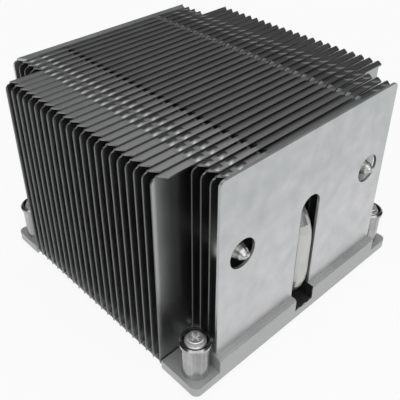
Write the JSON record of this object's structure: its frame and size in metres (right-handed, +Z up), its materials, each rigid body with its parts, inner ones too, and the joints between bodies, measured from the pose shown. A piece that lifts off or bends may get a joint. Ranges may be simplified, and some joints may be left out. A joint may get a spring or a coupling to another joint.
{
  "type": "passive server processor heatsink",
  "caption": "Tall passive server processor heatsink: plus-shaped stack of folded fins on an eared base, with U-shaped heat pipes and captive spring screws.",
  "frame": {"origin": "centre of the flat contact face under the copper plate", "axes": "+Z up, away from the processor; +X to the right along the fins and the airflow; -Y is the front, where one U-bend shows"},
  "size_m": [0.09, 0.0927, 0.0675],
  "materials": {
    "base_aluminium": "fine machined",
    "end_plate_aluminium": "plain rolled sheet",
    "fin_aluminium": "plain rolled sheet",
    "contact_copper": "ground copper",
    "pipe_nickel": "satin nickel plate",
    "cup_nickel": "bright nickel plate",
    "screw_steel": "nickel-plated steel",
    "ring_steel": "spring steel",
    "spring_steel": "drawn wire"
  },
  "bodies": {
    "heatsink": {"base_plate": "base_aluminium", "contact_plate": "contact_copper", "heat_pipe_centre": "pipe_nickel", "heat_pipe_left": "pipe_nickel", "heat_pipe_right": "pipe_nickel", "front_end_plate": "end_plate_aluminium", "fin_01": "fin_aluminium", "fin_02": "fin_aluminium", "fin_03": "fin_aluminium", "fin_04": "fin_aluminium", "fin_05": "fin_aluminium", "fin_06": "fin_aluminium", "fin_07": "fin_aluminium", "fin_08": "fin_aluminium", "fin_09": "fin_aluminium", "fin_10": "fin_aluminium", "fin_11": "fin_aluminium", "fin_12": "fin_aluminium", "fin_13": "fin_aluminium", "fin_14": "fin_aluminium", "fin_15": "fin_aluminium", "fin_16": "fin_aluminium", "fin_17": "fin_aluminium", "fin_18": "fin_aluminium", "fin_19": "fin_aluminium", "fin_20": "fin_aluminium", "fin_21": "fin_aluminium", "fin_22": "fin_aluminium", "fin_23": "fin_aluminium", "fin_24": "fin_aluminium", "fin_25": "fin_aluminium", "fin_26": "fin_aluminium", "fin_27": "fin_aluminium", "fin_28": "fin_aluminium", "rear_end_plate": "end_plate_aluminium", "spring_cup_front_left": "cup_nickel", "spring_cup_front_right": "cup_nickel", "spring_cup_rear_left": "cup_nickel", "spring_cup_rear_right": "cup_nickel", "spring_front_left": "spring_steel", "spring_front_right": "spring_steel", "spring_rear_left": "spring_steel", "spring_rear_right": "spring_steel"},
    "ring_front_left": {"retaining_ring_front_left": "ring_steel"},
    "screw_front_left": {"spring_screw_front_left": "screw_steel"},
    "ring_front_right": {"retaining_ring_front_right": "ring_steel"},
    "screw_front_right": {"spring_screw_front_right": "screw_steel"},
    "ring_rear_left": {"retaining_ring_rear_left": "ring_steel"},
    "screw_rear_left": {"spring_screw_rear_left": "screw_steel"},
    "ring_rear_right": {"retaining_ring_rear_right": "ring_steel"},
    "screw_rear_right": {"spring_screw_rear_right": "screw_steel"}
  },
  "joints": [
    {"name": "press_front_left", "type": "slide", "parent": "heatsink", "child": "ring_front_left", "axis": [0, 0, -1], "range_m": [0, 0.0035], "stiffness_N_per_m": 3000, "springref_m": -0.001, "deforming": ["spring_front_left"]},
    {"name": "turn_front_left", "type": "hinge", "parent": "ring_front_left", "child": "screw_front_left", "pos_m": [-0.04, -0.04, 0], "axis": [0, 0, 1], "continuous": true},
    {"name": "press_front_right", "type": "slide", "parent": "heatsink", "child": "ring_front_right", "axis": [0, 0, -1], "range_m": [0, 0.0035], "stiffness_N_per_m": 3000, "springref_m": -0.001, "deforming": ["spring_front_right"]},
    {"name": "turn_front_right", "type": "hinge", "parent": "ring_front_right", "child": "screw_front_right", "pos_m": [0.04, -0.04, 0], "axis": [0, 0, 1], "continuous": true},
    {"name": "press_rear_left", "type": "slide", "parent": "heatsink", "child": "ring_rear_left", "axis": [0, 0, -1], "range_m": [0, 0.0035], "stiffness_N_per_m": 3000, "springref_m": -0.001, "deforming": ["spring_rear_left"]},
    {"name": "turn_rear_left", "type": "hinge", "parent": "ring_rear_left", "child": "screw_rear_left", "pos_m": [-0.04, 0.04, 0], "axis": [0, 0, 1], "continuous": true},
    {"name": "press_rear_right", "type": "slide", "parent": "heatsink", "child": "ring_rear_right", "axis": [0, 0, -1], "range_m": [0, 0.0035], "stiffness_N_per_m": 3000, "springref_m": -0.001, "deforming": ["spring_rear_right"]},
    {"name": "turn_rear_right", "type": "hinge", "parent": "ring_rear_right", "child": "screw_rear_right", "pos_m": [0.04, 0.04, 0], "axis": [0, 0, 1], "continuous": true}
  ]
}
